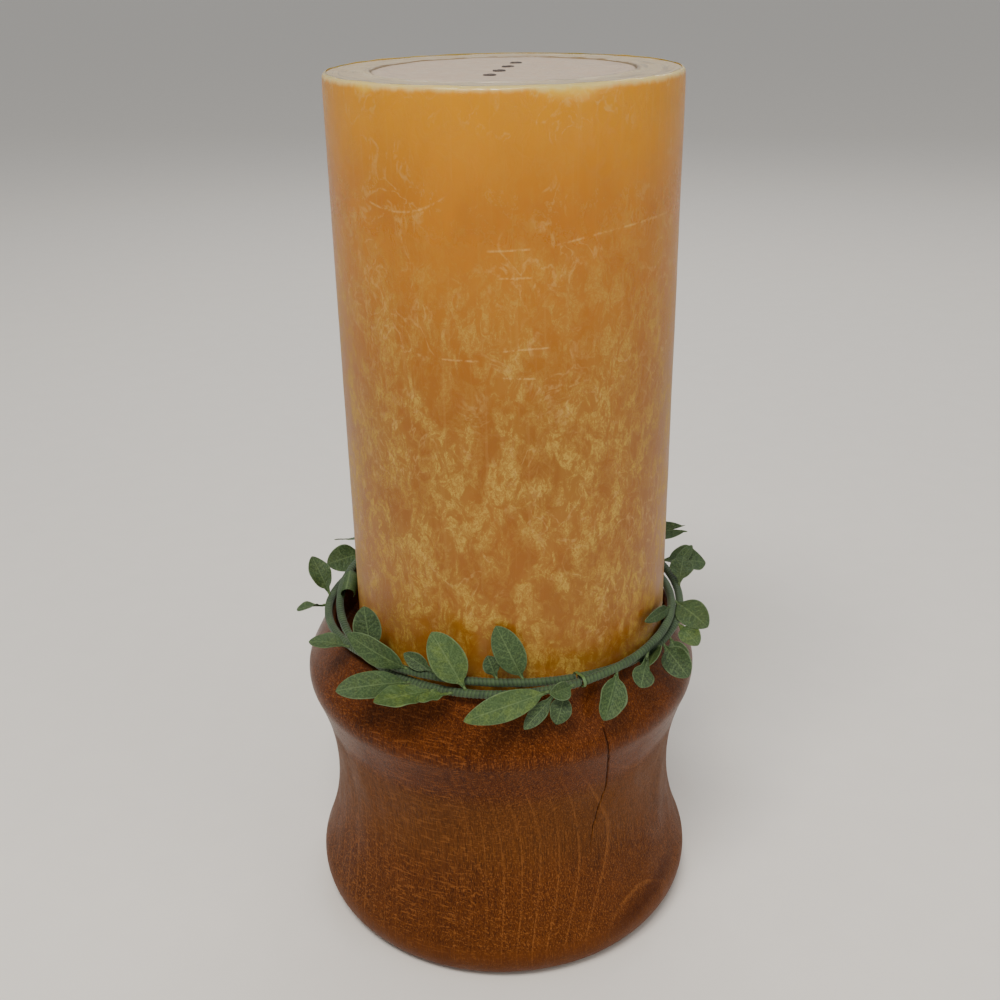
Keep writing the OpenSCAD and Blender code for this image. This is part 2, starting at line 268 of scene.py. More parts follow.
def dipped_wax():
    """Amber wax: clear and glossy at the top, with a pale bloom that thickens towards the foot."""
    n = Nodes("dipped_wax")
    place = n.place()
    x, y, z = n.parts(place)
    low = n.step(z, 338 * MM, 215 * MM)
    clouds = n.step(n.noise(n.scaled(place, 0.030, 0.030, 0.045), 4, 0.6, 0.6), 0.30, 0.70)
    patches = n.step(n.noise(n.scaled(place, 0.014, 0.014, 0.024), 5, 0.62, 0.9), 0.38, 0.60)
    flecks = n.step(n.noise(n.scaled(place, 0.0050, 0.0050, 0.0078), 8, 0.76, 0.9), 0.45, 0.56)
    grit = n.step(n.noise(n.scaled(place, 0.0012, 0.0012, 0.0015), 5, 0.70, 1.2), 0.45, 0.56)
    squiggle = n.noise(n.scaled(place, 0.014, 0.014, 0.018), 3, 0.5, 1.5)
    squiggle = n.math("ABSOLUTE", n.math("SUBTRACT", squiggle, 0.5))
    broken = n.step(n.noise(n.scaled(place, 0.0028, 0.0028, 0.0034), 5, 0.75), 0.40, 0.58)
    squiggle = n.math("MULTIPLY", n.math("MULTIPLY", n.step(squiggle, 0.038, 0.002), broken),
                      n.step(n.noise(n.scaled(place, 0.03, 0.03, 0.03), 2), 0.46, 0.58))
    streaks = n.step(n.noise(n.scaled(place, 0.0018, 0.0018, 0.06), 2), 0.58, 0.72)

    colour = n.mix(low, (0.545, 0.192, 0.0008), (0.270, 0.094, 0.0008))
    colour = n.mix(n.math("MULTIPLY", clouds, 0.40), colour, (0.330, 0.098, 0.0008))
    amber = n.math("MULTIPLY", n.step(z, 305 * MM, 343 * MM), 0.55)
    colour = n.mix(amber, colour, (0.690, 0.300, 0.0010))
    bloom = n.math("MULTIPLY", flecks, n.math("ADD", n.math("MULTIPLY", grit, 0.58), 0.26))
    bloom = n.math("ADD", n.math("MULTIPLY", bloom, n.math("ADD", n.math("MULTIPLY", patches, 0.75), 0.25)),
                   n.math("MULTIPLY", patches, 0.14))
    bloom = n.math("MULTIPLY", bloom, n.math("ADD", n.math("MULTIPLY", low, 0.82), 0.09))
    colour = n.mix(bloom, colour, (0.520, 0.330, 0.055))
    colour = n.mix(n.math("MULTIPLY", squiggle, 0.30), colour, (0.680, 0.430, 0.130))
    colour = n.mix(n.math("MULTIPLY", streaks, 0.10), colour, (0.600, 0.340, 0.080))
    for mark in SCRATCHES:
        line = n.math("MULTIPLY", scratch(n, x, z, y, *mark), broken)
        colour = n.mix(n.math("MULTIPLY", line, 0.40), colour, (0.760, 0.480, 0.150))
    chip = n.step(n.node("Attribute", attribute_name="chip").outputs["Fac"], 0.0, 1.0)
    colour = n.mix(n.math("MULTIPLY", chip, 0.62), colour, (0.830, 0.520, 0.045))
    brink = n.math("ADD", z, n.math("MULTIPLY", n.noise(n.scaled(place, 0.004, 0.004, 0.1), 3), 3 * MM))
    colour = n.mix(n.step(brink, 344.0 * MM, 346.2 * MM, 0.0, 0.85), colour, (0.700, 0.520, 0.190))

    relief = n.math("ADD", n.math("MULTIPLY", patches, 0.4), n.math("MULTIPLY", flecks, 0.6))
    rough = n.math("ADD", n.step(z, 335 * MM, 250 * MM, 0.20, 0.36), n.math("MULTIPLY", bloom, 0.35))
    rough = n.math("SUBTRACT", rough, n.math("MULTIPLY", chip, 0.08))
    n.set(Base_Color=colour, Roughness=rough, Subsurface_Weight=0.30, Subsurface_Scale=0.004,
          Specular_IOR_Level=0.42, Normal=n.bump(relief, 0.00006))
    n.shader.inputs["Subsurface Radius"].default_value = (1.0, 0.45, 0.12)
    return n.material


# Shallow scratches on the front: middle x and z, half their length, their slope and their bow, all in mm.
SCRATCHES = [(-29, 306, 15, 0.10, -5.0), (40, 299, 22, 0.10, 1.2), (5, 295, 8, 0.03, 0.0),
             (7, 286, 6, 0.0, 0.0), (10, 262, 9, 0.05, 0.3), (-12, 258, 7, 0.0, 0.0), (8, 252, 6, -0.05, 0.0)]


def scratch(n, x, z, y, middle_x, middle_z, half, slope, bow):
    """1 along a thin bowed line on the front of the candle."""
    share = n.math("DIVIDE", n.math("SUBTRACT", x, middle_x * MM), half * MM)
    curve = n.math("MULTIPLY", n.math("MULTIPLY", share, share), -bow * MM)
    height = n.math("ADD", n.math("MULTIPLY", share, slope * half * MM), curve)
    off = n.math("ABSOLUTE", n.math("SUBTRACT", n.math("SUBTRACT", z, middle_z * MM), height))
    line = n.math("MULTIPLY", n.step(off, 0.55 * MM, 0.08 * MM), n.step(n.math("ABSOLUTE", share), 1.0, 0.75))
    return n.math("MULTIPLY", line, n.step(y, -20 * MM, -30 * MM))


def poured_wax(name, colour, dark, pale):
    """The plain wax of the pours that show on the top, cloudy and scuffed."""
    n = Nodes(name)
    place = n.place()
    x, y, z = n.parts(place)
    dx, dy = n.math("SUBTRACT", x, CANDLE_X), n.math("SUBTRACT", y, CANDLE_Y)
    reach = n.math("SQRT", n.math("ADD", n.math("MULTIPLY", dx, dx), n.math("MULTIPLY", dy, dy)))
    around = n.math("MULTIPLY", n.math("ARCTAN2", dy, dx), CORE_R)
    clouds = n.step(n.noise(n.scaled(place, 0.014, 0.014, 0.014), 4, 0.6, 0.5), 0.30, 0.70)
    specks = n.step(n.noise(n.scaled(place, 0.0012, 0.0012, 0.0012), 3, 0.6), 0.56, 0.70)
    rings = n.noise(n.scaled(n.vector(reach, around, z), 0.0016, 0.022, 0.01), 4, 0.6, 0.5)
    marks = n.math("MULTIPLY", n.step(rings, 0.52, 0.64), n.step(reach, CORE_R - 10 * MM, CORE_R))
    joint = n.step(n.math("ABSOLUTE", n.math("SUBTRACT", reach, CORE_R)), 0.9 * MM, 0.2 * MM)
    shade = n.mix(clouds, colour, dark)
    shade = n.mix(n.math("MULTIPLY", n.math("MAXIMUM", specks, n.step(rings, 0.40, 0.28)), 0.45), shade, pale)
    frost = n.math("ABSOLUTE", n.math("SUBTRACT", reach, CORE_R + 2.2 * MM))
    flank = n.step(n.math("ABSOLUTE", dx), 25 * MM, 42 * MM)
    frost = n.math("MULTIPLY", n.step(frost, 2.4 * MM, 0.4 * MM), flank)
    frost = n.math("MULTIPLY", frost, n.step(specks, 0.0, 0.6))
    shade = n.mix(n.math("MULTIPLY", frost, 0.65), shade, pale)
    shade = n.mix(n.math("MULTIPLY", marks, 0.62), shade, (0.170, 0.112, 0.055))
    shade = n.mix(n.math("MULTIPLY", joint, 0.62), shade, (0.130, 0.080, 0.042))
    n.set(Base_Color=shade, Roughness=n.step(clouds, 0, 1, 0.30, 0.46), Subsurface_Weight=0.20,
          Subsurface_Scale=0.004, Normal=n.bump(n.math("ADD", specks, rings), 0.00008))
    n.shader.inputs["Subsurface Radius"].default_value = (1.0, 0.6, 0.3)
    return n.material


def wick_cotton():
    n = Nodes("wick_cotton")
    strands = n.noise(n.scaled(n.place(), 0.0005, 0.0005, 0.002), 3)
    shade = n.mix(n.step(strands, 0.35, 0.65), (0.020, 0.014, 0.012), (0.110, 0.080, 0.065))
    n.set(Base_Color=shade, Roughness=0.85, Normal=n.bump(strands, 0.0002))
    return n.material


def tin_plate(name, colour, rough):
    n = Nodes(name)
    grain = n.noise(n.scaled(n.place(), 0.0004, 0.0004, 0.003), 3)
    shade = n.mix(grain, colour, tuple(0.7 * c for c in colour))
    n.set(Base_Color=shade, Metallic=1.0, Roughness=n.step(grain, 0.3, 0.7, rough, rough + 0.15))
    return n.material


def felt():
    n = Nodes("felt")
    fibres = n.noise(n.scaled(n.place(), 0.0004, 0.0004, 0.0004), 5, 0.7, 2.0)
    tufts = n.noise(n.scaled(n.place(), 0.004, 0.004, 0.004), 3)
    shade = n.mix(n.step(fibres, 0.35, 0.65), (0.012, 0.032, 0.018), (0.045, 0.090, 0.050))
    shade = n.mix(n.math("MULTIPLY", tufts, 0.3), shade, (0.070, 0.120, 0.070))
    n.set(Base_Color=shade, Roughness=0.95, Sheen_Weight=0.5, Sheen_Roughness=0.5,
          Normal=n.bump(fibres, 0.0003))
    return n.material


def stem_tape():
    """Green crepe tape wound along a stem: rib crests paler, partly its own edge and partly painted
    highlight; grooves in painted shade.
    """
    n = Nodes("stem_tape")
    lap = n.parts(n.attribute("lap"))[0]
    clouds = n.noise(n.scaled(n.place(), 0.006, 0.006, 0.006), 3)
    fibres = n.noise(n.scaled(n.place(), 0.0003, 0.0003, 0.0003), 3, 0.65)
    shade = n.mix(n.step(clouds, 0.3, 0.7), (0.018, 0.042, 0.012), (0.038, 0.075, 0.020))
    # Painted highlight, partly the tape's own paler edge: the crest of each rib is painted paler.
    shade = n.mix(n.step(lap, 0.55, 1.0, 0.0, 0.45), shade, (0.100, 0.160, 0.055))
    # Painted shade: the groove at the foot of each rib is painted nearly black.
    shade = n.mix(n.step(lap, 0.45, 0.0, 0.0, 0.85), shade, (0.004, 0.010, 0.004))
    shade = n.mix(n.step(fibres, 0.5, 0.8, 0.0, 0.35), shade, (0.120, 0.170, 0.075))
    n.set(Base_Color=shade, Roughness=0.68, Sheen_Weight=0.15, Normal=n.bump(fibres, 0.00008))
    return n.material


def tie_green():
    n = Nodes("tie_green")
    scuffs = n.noise(n.scaled(n.place(), 0.0008, 0.0008, 0.0008), 3)
    shade = n.mix(n.step(scuffs, 0.3, 0.7), (0.060, 0.120, 0.035), (0.110, 0.185, 0.060))
    n.set(Base_Color=shade, Roughness=n.step(scuffs, 0.3, 0.7, 0.35, 0.55), Normal=n.bump(scuffs, 0.00005))
    return n.material


THREAD_PITCH = 0.62e-3


def leaf_cloth(name, base, dark, gold):
    """Stiffened woven cloth, printed darker between the veins. The blade attribute holds how far a point is
    along the leaf, how far across and which side it is on."""
    n = Nodes(name)
    along, across, side = n.parts(n.attribute("blade"))
    thread = n.parts(n.attribute("thread"))
    out = n.math("ABSOLUTE", across)
    warp = n.math("SINE", n.math("MULTIPLY", thread[0], 2 * math.pi / THREAD_PITCH))
    weft = n.math("SINE", n.math("MULTIPLY", thread[1], 2 * math.pi / THREAD_PITCH))
    weave = n.math("MULTIPLY", n.math("ADD", n.math("MULTIPLY", warp, weft), 1.0), 0.5)
    clouds = n.noise(n.scaled(n.place(), 0.005, 0.005, 0.005), 3)
    slubs = n.noise(n.scaled(n.place(), 0.0007, 0.0007, 0.0007), 3, 0.6)
    midrib = n.step(out, 0.075, 0.02)
    swept = n.math("SUBTRACT", along, n.math("MULTIPLY", out, 0.24))
    ribs = n.math("ABSOLUTE", n.math("SUBTRACT", n.math("FRACT", n.math("MULTIPLY", swept, 7.0)), 0.5))
    ribs = n.math("MULTIPLY", n.step(ribs, 0.16, 0.03), n.step(out, 0.98, 0.70))
    rim = n.step(out, 0.90, 0.985)

    shade = n.mix(n.step(clouds, 0.30, 0.70), base, dark)
    gilt = n.step(n.math("ADD", clouds, n.math("MULTIPLY", slubs, 0.5)), 0.66, 0.98)
    shade = n.mix(n.math("MULTIPLY", gilt, gold), shade, (0.170, 0.245, 0.030))
    shade = n.mix(n.step(weave, 0.50, 0.95, 0.0, 0.50), shade, (0.135, 0.205, 0.065))
    shade = n.mix(n.step(weave, 0.50, 0.05, 0.0, 0.60), shade, (0.006, 0.015, 0.005))
    shade = n.mix(n.step(slubs, 0.46, 0.70, 0.0, 0.45), shade, (0.130, 0.200, 0.065))
    shade = n.mix(n.math("MULTIPLY", ribs, 0.22), shade, (0.120, 0.185, 0.065))
    shade = n.mix(n.math("MULTIPLY", midrib, 0.38), shade, (0.160, 0.230, 0.085))
    shade = n.mix(n.math("MULTIPLY", rim, 0.42), shade, (0.170, 0.245, 0.110))
    # Painted shade: the blade's underside is painted darker, as it lies in shade.
    under = n.step(side, 0.0, -0.5)
    shade = n.mix(n.math("MULTIPLY", under, 0.55), shade, (0.014, 0.028, 0.013))
    n.set(Base_Color=shade, Roughness=0.55, Specular_IOR_Level=0.35,
          Normal=n.bump(n.math("ADD", weave, slubs), 0.00008))
    return n.material


# ---------------------------------------------------------------- the holder

def holder_outline():
    """The turned outline, read from the CAD holder, with its felt recess and its seat."""
    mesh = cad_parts["holder_body"].data
    rings = {(round(math.hypot(v.co.x, v.co.y), 5), round(v.co.z, 5)) for v in mesh.vertices}
    seat_z = max(z for r, z in rings if r < 69.5 * MM and z < 130 * MM)
    seat_r = max(r for r, z in rings if abs(z - seat_z) < 0.05 * MM and r < 69.5 * MM)
    recess_z = max(z for r, z in rings if z < 5 * MM and r < 68 * MM)
    recess_r = max(r for r, z in rings if abs(z - recess_z) < 0.05 * MM and r < 69.5 * MM)
    wall = sorted((z, r) for r, z in rings if r > seat_r + 0.4 * MM)
    outside = [(r, z) for z, r in wall]
    top, foot = outside[-1][1], outside[0][1]
    lip = 0.5 * MM
    inside = [(seat_r + lip, top), (seat_r, top - lip), (seat_r, seat_z)]
    return [(0, recess_z), (recess_r, recess_z), (recess_r, foot)] + outside + inside + [(0, seat_z)]


# Beyond these radii a point is on the holder's outside, and not on its seat.
OUTSIDE_R, CRACKED_R = 69.6 * MM, 70 * MM

# Where the crack runs down the outside: degrees round the holder, and height in mm.
CRACK = [(-61.6, 118), (-60.2, 104), (-58.2, 92), (-57.4, 83), (-59.4, 72), (-61.2, 60), (-61.8, 50)]


def crack_angle(z):
    """Where the crack is, in degrees round the holder, at a height in metres."""
    heights = [point[1] * MM for point in reversed(CRACK)]
    places = [point[0] for point in reversed(CRACK)]
    return float(np.interp(z, heights, places)) + 0.35 * bumps(0, 0, z, 3 * MM)


def crack_depth(angle, z):
    """From 0 to 1: how far down the crack the surface is here."""
    if not CRACK[-1][1] * MM < z < CRACK[0][1] * MM:
        return 0.0
    fade = min(1, (z - CRACK[-1][1] * MM) / (14 * MM), (CRACK[0][1] * MM - z) / (6 * MM))
    apart = abs(math.degrees(angle) - 360 - crack_angle(z))
    return max(0.0, 1 - apart / (0.16 + 0.16 * fade)) * fade


def add_holder(material):
    fine = [math.radians(360 + a) for a in np.arange(-63.5, -55.4, 0.11)]
    rest = [a for a in even_angles(440) if not fine[0] - 0.008 < a < fine[-1] + 0.008]
    angles = sorted(rest + fine)

    def shape(r, a, z):
        depth = crack_depth(a, z) * 0.9 * MM if r > CRACKED_R else 0
        wear = 0.07 * MM * bumps(r * math.cos(a), r * math.sin(a), z, 22 * MM)
        r = r + (wear if r > OUTSIDE_R else 0) - depth
        return r * math.cos(a), r * math.sin(a), z

    points, faces = lathe(subdivide(holder_outline(), 1.6 * MM), angles, shape)
    piece = new_piece("holder", points, faces, material, "holder", ["holder_body"])
    dark = piece.data.attributes.new("crack", "FLOAT", "POINT")
    for i, v in enumerate(piece.data.vertices):
        angle = math.atan2(v.co.y, v.co.x) % (2 * math.pi)
        if math.hypot(v.co.x, v.co.y) > OUTSIDE_R:
            dark.data[i].value = crack_depth(angle, v.co.z)
    return piece


# ---------------------------------------------------------------- the candle

def at_candle(r, a, z):
    return CANDLE_X + r * math.cos(a), CANDLE_Y + r * math.sin(a), z


# Thin, glossy chips and melts at the top edge: the angle round the candle, half the width and the depth.
RIM_CHIPS = [(-71, 17, 6.0), (-135, 7, 4.5), (-104, 9, 2.0), (-93, 6, 1.6), (-42, 8, 2.0), (-20, 9, 1.8),
             (-160, 8, 1.6), (-122, 5, 1.8), (15, 12, 2.2), (60, 9, 2.6), (110, 14, 2.0), (165, 10, 2.4)]


def rim_chip(angle, below):
    """From 0 to 1: how far a point of the skin, at this angle and this far below the top, is in a chip."""
    most = max(0.0, 1 - below / (1.3 * MM)) * 0.6
    for place, half, depth in RIM_CHIPS:
        apart = (math.degrees(angle) - place + 180) % 360 - 180
        share = apart / half + 0.08 * bumps(math.cos(angle), math.sin(angle), place, 0.12)
        reach = depth * MM * (1 - share * share)
        most = max(most, min(1.0, (reach - below) / (0.75 * depth * MM)))
    return most


def add_candle_skin(material):
    low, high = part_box("candle_skin")
    foot, top = low.z, high.z
    edge = 1.2 * MM
    outline = [(0, foot), (CANDLE_R - edge, foot)]
    outline += [(CANDLE_R - edge + edge * math.sin(t), foot + edge - edge * math.cos(t))
                for t in (0.4, 0.8, 1.2, math.pi / 2)]
    outline += [(CANDLE_R, top - 1.3 * MM)]
    outline += [(CANDLE_R - edge + edge * math.cos(t), top - edge + edge * math.sin(t))
                for t in (0.3, 0.6, 0.9, 1.2)]
    outline += [(CANDLE_R - 1.0 * MM, top), (CANDLE_R - SKIN_T, top - 0.1 * MM)]
    outline += [(CANDLE_R - SKIN_T, foot + SKIN_T), (0, foot + SKIN_T)]

    def shape(r, a, z):
        x, y, _ = at_candle(r, a, z)
        outer = r > CANDLE_R - 1.3 * MM
        if outer:
            swell = 0.16 * MM * bumps(x, y, z, 38 * MM) + 0.05 * MM * bumps(x, y, z, 7 * MM)
            swell += 0.022 * MM * bumps(x, y, z, 2.2 * MM)
            below = top - z
            rim = max(0.0, 1 - below / (7 * MM))
            r += swell - 0.15 * MM - rim * rim * 0.35 * MM
            if below < 8 * MM:
                r -= 0.45 * MM * rim_chip(a, below)
        if z > top - 1.4 * MM:
            z += 0.22 * MM * bumps(x, y, 0, 9 * MM) - 0.2 * MM
        return at_candle(r, a, z)

    points, faces = lathe(subdivide(outline, 1.15 * MM), even_angles(360), shape)
    piece = new_piece("candle_dip", points, faces, material, "candle", ["candle_skin"])
    chip = piece.data.attributes.new("chip", "FLOAT", "POINT")
    for i, v in enumerate(piece.data.vertices):
        if v.co.z > top - 8 * MM:
            angle = math.atan2(v.co.y - CANDLE_Y, v.co.x - CANDLE_X)
            chip.data[i].value = max(0.0, rim_chip(angle, max(0.0, top - v.co.z)))
    return piece


def add_candle_shell(material):
    low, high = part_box("candle_shell")
    outer = CANDLE_R - SKIN_T
    inner = CORE_R
    outline = [(inner, low.z), (outer, low.z), (outer, high.z)]
    top_run = [(outer - (outer - inner) * t, high.z) for t in np.linspace(0, 1, 26)[1:]]
    loop = subdivide(outline, 12 * MM)[:-1] + [(outer, high.z)] + top_run
    loop += [(inner, high.z - 3 * MM), (inner, low.z + 60 * MM)]
    count = 360
    points, faces = [], []
    for r, z in loop:
        for a in even_angles(count):
            x, y, _ = at_candle(r, a, z)
            lift = 0.0
            if z > high.z - 1 * MM:
                share = (r - inner) / (outer - inner)
                lift = 0.22 * MM * bumps(x, y, 0, 8 * MM) + 0.10 * MM * bumps(x, y, 0, 2.5 * MM)
                lift += 0.35 * MM * math.exp(-((share - 0.05) / 0.06) ** 2) * (1 + bumps(x, y, 5, 6 * MM))
                lift += 0.3 * MM * math.exp(-((share - 1.0) / 0.1) ** 2)
                lift *= min(1, 6 * (1 - share) + 0.35)
            points.append(at_candle(r, a, z + lift))
    for i in range(len(loop)):
        j = (i + 1) % len(loop)
        for k in range(count):
            m = (k + 1) % count
            faces.append((i * count + k, i * count + m, j * count + m, j * count + k))
    return new_piece("candle_shell_pour", points, faces, material, "candle", ["candle_shell"])


def wick_places():
    for i in range(WICK_COUNT):
        along = (i - (WICK_COUNT - 1) / 2) * WICK_PITCH
        yield i, CANDLE_X + along * math.sin(WICK_TURN), CANDLE_Y + along * math.cos(WICK_TURN)


def add_candle_core(material):
    low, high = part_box("candle_core")
    wall = CORE_R - 0.05 * MM
    outline = subdivide([(0, low.z), (wall, low.z), (wall, high.z - 1 * MM)], 14 * MM)
    outline += [(wall - wall * t, high.z) for t in np.linspace(0, 1, 48)]

    def shape(r, a, z):
        x, y, _ = at_candle(r, a, z)
        if z > high.z - 0.5 * MM:
            near = max(0.0, 1 - (CORE_R - r) / (2.2 * MM))
            z += 0.16 * MM * bumps(x, y, 2, 13 * MM) + 0.05 * MM * bumps(x, y, 2, 3 * MM) - 0.1 * MM
            z -= 0.45 * MM * near
            for _, wx, wy in wick_places():
                apart = math.hypot(x - wx, y - wy)
                z -= 0.35 * MM * math.exp(-(apart / (3.4 * MM)) ** 2)
        return at_candle(r, a, z)

    points, faces = lathe(outline, even_angles(300), shape)
    return new_piece("candle_core_pour", points, faces, material, "candle", ["candle_core"])


def add_wick(i, x, y, material):
    """A flush-cut braid: its cut end is a shallow dome of a few twisted strands."""
    low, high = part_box(f"wick_{i + 1}")
    radius = (high.x - low.x) / 2
    top = high.z - 0.12 * MM
    dome = 0.35 * MM
    outline = [(0, low.z), (radius, low.z), (radius, low.z + 30 * MM), (radius, top - dome)]
    outline += [(radius * math.cos(t), top - dome + dome * math.sin(t)) for t in (0.4, 0.8, 1.1, 1.35)]
    outline += [(0, top)]

    def shape(r, a, z):
        if z > top - 0.5 * MM:
            r *= 1 + 0.07 * math.sin(3 * a + 6 * r / radius + i)
            z += 0.10 * MM * math.sin(3 * a + 5 * r / radius + i) * r / radius
        return x + r * math.cos(a), y + r * math.sin(a), z

    points, faces = lathe(subdivide(outline, 8 * MM), even_angles(48), shape)
    return new_piece(f"cut_wick_{i + 1}", points, faces, material, "candle", [f"wick_{i + 1}"])


# ---------------------------------------------------------------- the ring's two stems

def strand_point(side, a):
    r = RING_R + side * TWIST_R * math.cos(TWISTS * a + TWIST_PHASE)
    z = RING_Z + side * TWIST_Z * math.sin(TWISTS * a + TWIST_PHASE)
    return Vector((RING_X + r * math.cos(a), RING_Y + r * math.sin(a), z))


def strand_axes(side, a):
    """The stem's direction, and two directions across it, at an angle round the ring."""
    way = (strand_point(side, a + 0.004) - strand_point(side, a - 0.004)).normalized()
    out = way.cross(Vector((0, 0, 1))).normalized()
    return way, out, out.cross(way)


def add_strand(name, side, material):
    """A stem wound with tape, whose lapped edge makes a shallow saw-toothed rib round it."""
    rings, sides = 1700, 16
    lap_pitch = 1.55 * MM
    gap = math.radians(0.5)
    points, rib_shadings = [], []
    run = 0.0
    for i in range(rings + 1):
        a = TIE_AT + gap + (2 * math.pi - 2 * gap) * i / rings
        centre = strand_point(side, a)
        way, out, up = strand_axes(side, a)
        if i:
            run += (centre - last).length
        last = centre
        for k in range(sides):
            t = 2 * math.pi * k / sides
            tooth = (run / lap_pitch + side * k / sides + 0.25 * bumps(*centre, 9 * MM)) % 1
            r = STRAND_R * 0.86 + 0.32 * MM * tooth ** 0.7 * min(1, 5 * (1 - tooth))
            r += 0.10 * MM * bumps(*(centre + 2 * MM * (math.cos(t) * out + math.sin(t) * up)), 5 * MM)
            end = min(i, rings - i)
            r *= min(1, 0.55 + 0.15 * end)
            points.append(centre + r * (math.cos(t) * out + math.sin(t) * up))
            rib_shadings.append(tooth ** 0.7 * min(1, 5 * (1 - tooth)))
    faces = []
    for i in range(rings):
        here, ahead = i * sides, (i + 1) * sides
        faces += [(here + k, here + (k + 1) % sides, ahead + (k + 1) % sides, ahead + k)
                  for k in range(sides)]
    faces += [tuple(range(sides))[::-1], tuple(rings * sides + k for k in range(sides))]
    wrap = f"strand_wrap_{name}"
    piece = new_piece(f"stem_{name}", points, faces, material, "leaf_ring", [wrap])
    # The rib's height, 0 in its groove and 1 at its crest, which sets the tape's painted highlight and
    # painted shade.
    lap = piece.data.attributes.new("lap", "FLOAT_VECTOR", "POINT")
    for i, v in enumerate(rib_shadings):
        lap.data[i].vector = (v, 0, 0)
    return piece


def add_tie(material):
    """A flat closed tie drawn round both stems."""
    a_point, b_point = strand_point(1, TIE_AT), strand_point(-1, TIE_AT)
    out = Vector((math.cos(TIE_AT), math.sin(TIE_AT), 0))
    along = Vector((-math.sin(TIE_AT), math.cos(TIE_AT), 0))
    gap = b_point - a_point
    turn = math.atan2(gap.z, gap.dot(out))
    length = math.hypot(gap.z, gap.dot(out))
    reach = STRAND_R + 0.42 * MM
    bow = [math.pi / 24 * i for i in range(25)]
    loop = [(-reach * math.sin(t), reach * math.cos(t)) for t in bow]
    loop += [(length * i / 8, -reach) for i in range(1, 8)]
    loop += [(length + reach * math.sin(t), -reach * math.cos(t)) for t in bow]
    loop += [(length * i / 8, reach) for i in range(7, 0, -1)]
    section = [(0.62 * math.cos(t), 0.22 * math.sin(t) * (1 + 0.35 * math.cos(2 * t)))
               for t in even_angles(16)]
    points, faces = [], []
    count = len(loop)
    for i, (u, v) in enumerate(loop):
        centre_u = min(max(u, 0), length)
        normal = Vector((u - centre_u, v)).normalized()
        for wide, thick in section:
            pu, pv = u + normal.x * thick * MM, v + normal.y * thick * MM
            ru, rv = pu * math.cos(turn) - pv * math.sin(turn), pu * math.sin(turn) + pv * math.cos(turn)
            points.append(a_point + ru * out + rv * Vector((0, 0, 1)) + wide * MM * along)
    n = len(section)
    for i in range(count):
        j = (i + 1) % count
        faces += [(i * n + k, i * n + (k + 1) % n, j * n + (k + 1) % n, j * n + k) for k in range(n)]
    return new_piece("twist_tie", points, faces, material, "leaf_ring", ["ring_tie"])


# ---------------------------------------------------------------- the leaves

def read_leaf(node):
    """Where a CAD leaf is and how big: its stalk's root, its three directions, and its lengths."""
    found = np.array([v.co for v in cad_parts[node].data.vertices])
    spread = ((found[:, None] - found[None]) ** 2).sum(2)
    i, j = np.unravel_index(spread.argmax(), spread.shape)
    disc_i, disc_j = (np.flatnonzero(spread[k] < (1.72 * MM) ** 2) for k in (i, j))
    disc = found[disc_i if len(disc_i) > len(disc_j) else disc_j]
    root = disc.mean(0)
    _, _, axes = np.linalg.svd(disc - root)
    way = axes[2]
    if (found.mean(0) - root) @ way < 0:
        way = -way
    root = (disc.max(0) + disc.min(0)) / 2
    offset = found - root
    along = offset @ way
    blade = offset[along > 2.5 * MM]
    flat = blade - np.outer(blade @ way, way)
    _, _, axes = np.linalg.svd(flat - flat.mean(0))
    across = axes[0] - (axes[0] @ way) * way
    across /= np.linalg.norm(across)
    normal = np.cross(way, across)
    tip = offset[along.argmax()]
    if tip @ normal > 0:
        across, normal = -across, -normal
    reach = np.abs(blade @ across)
    widest = (blade @ way)[reach > 0.985 * reach.max()].mean()
    tip_x = tip @ way
    stalk = max(2 * widest - tip_x, 1.5 * MM)
    drop = max(-(tip @ normal), 0.1 * MM)
    bend = 2 * math.atan2(drop, tip_x - stalk)
    length = (tip_x - stalk) * bend / math.sin(bend)
    return {"root": Vector(root), "way": Vector(way), "across": Vector(across), "normal": Vector(normal),
            "stalk": stalk, "length": length, "width": 2 * reach.max(), "bend": bend}


def leaf_half_width(u):
    """Half the leaf's width, as a share of the most, at a share u of its length. It is fullest before 0.5."""
    return max(0.0, 4 * u ** 0.92 * (1 - u ** 0.92)) ** 0.72


VEINS = 6
CLOTH_T = 0.34 * MM
# About one turn, in radians.
WHOLE_TURN = 6.28


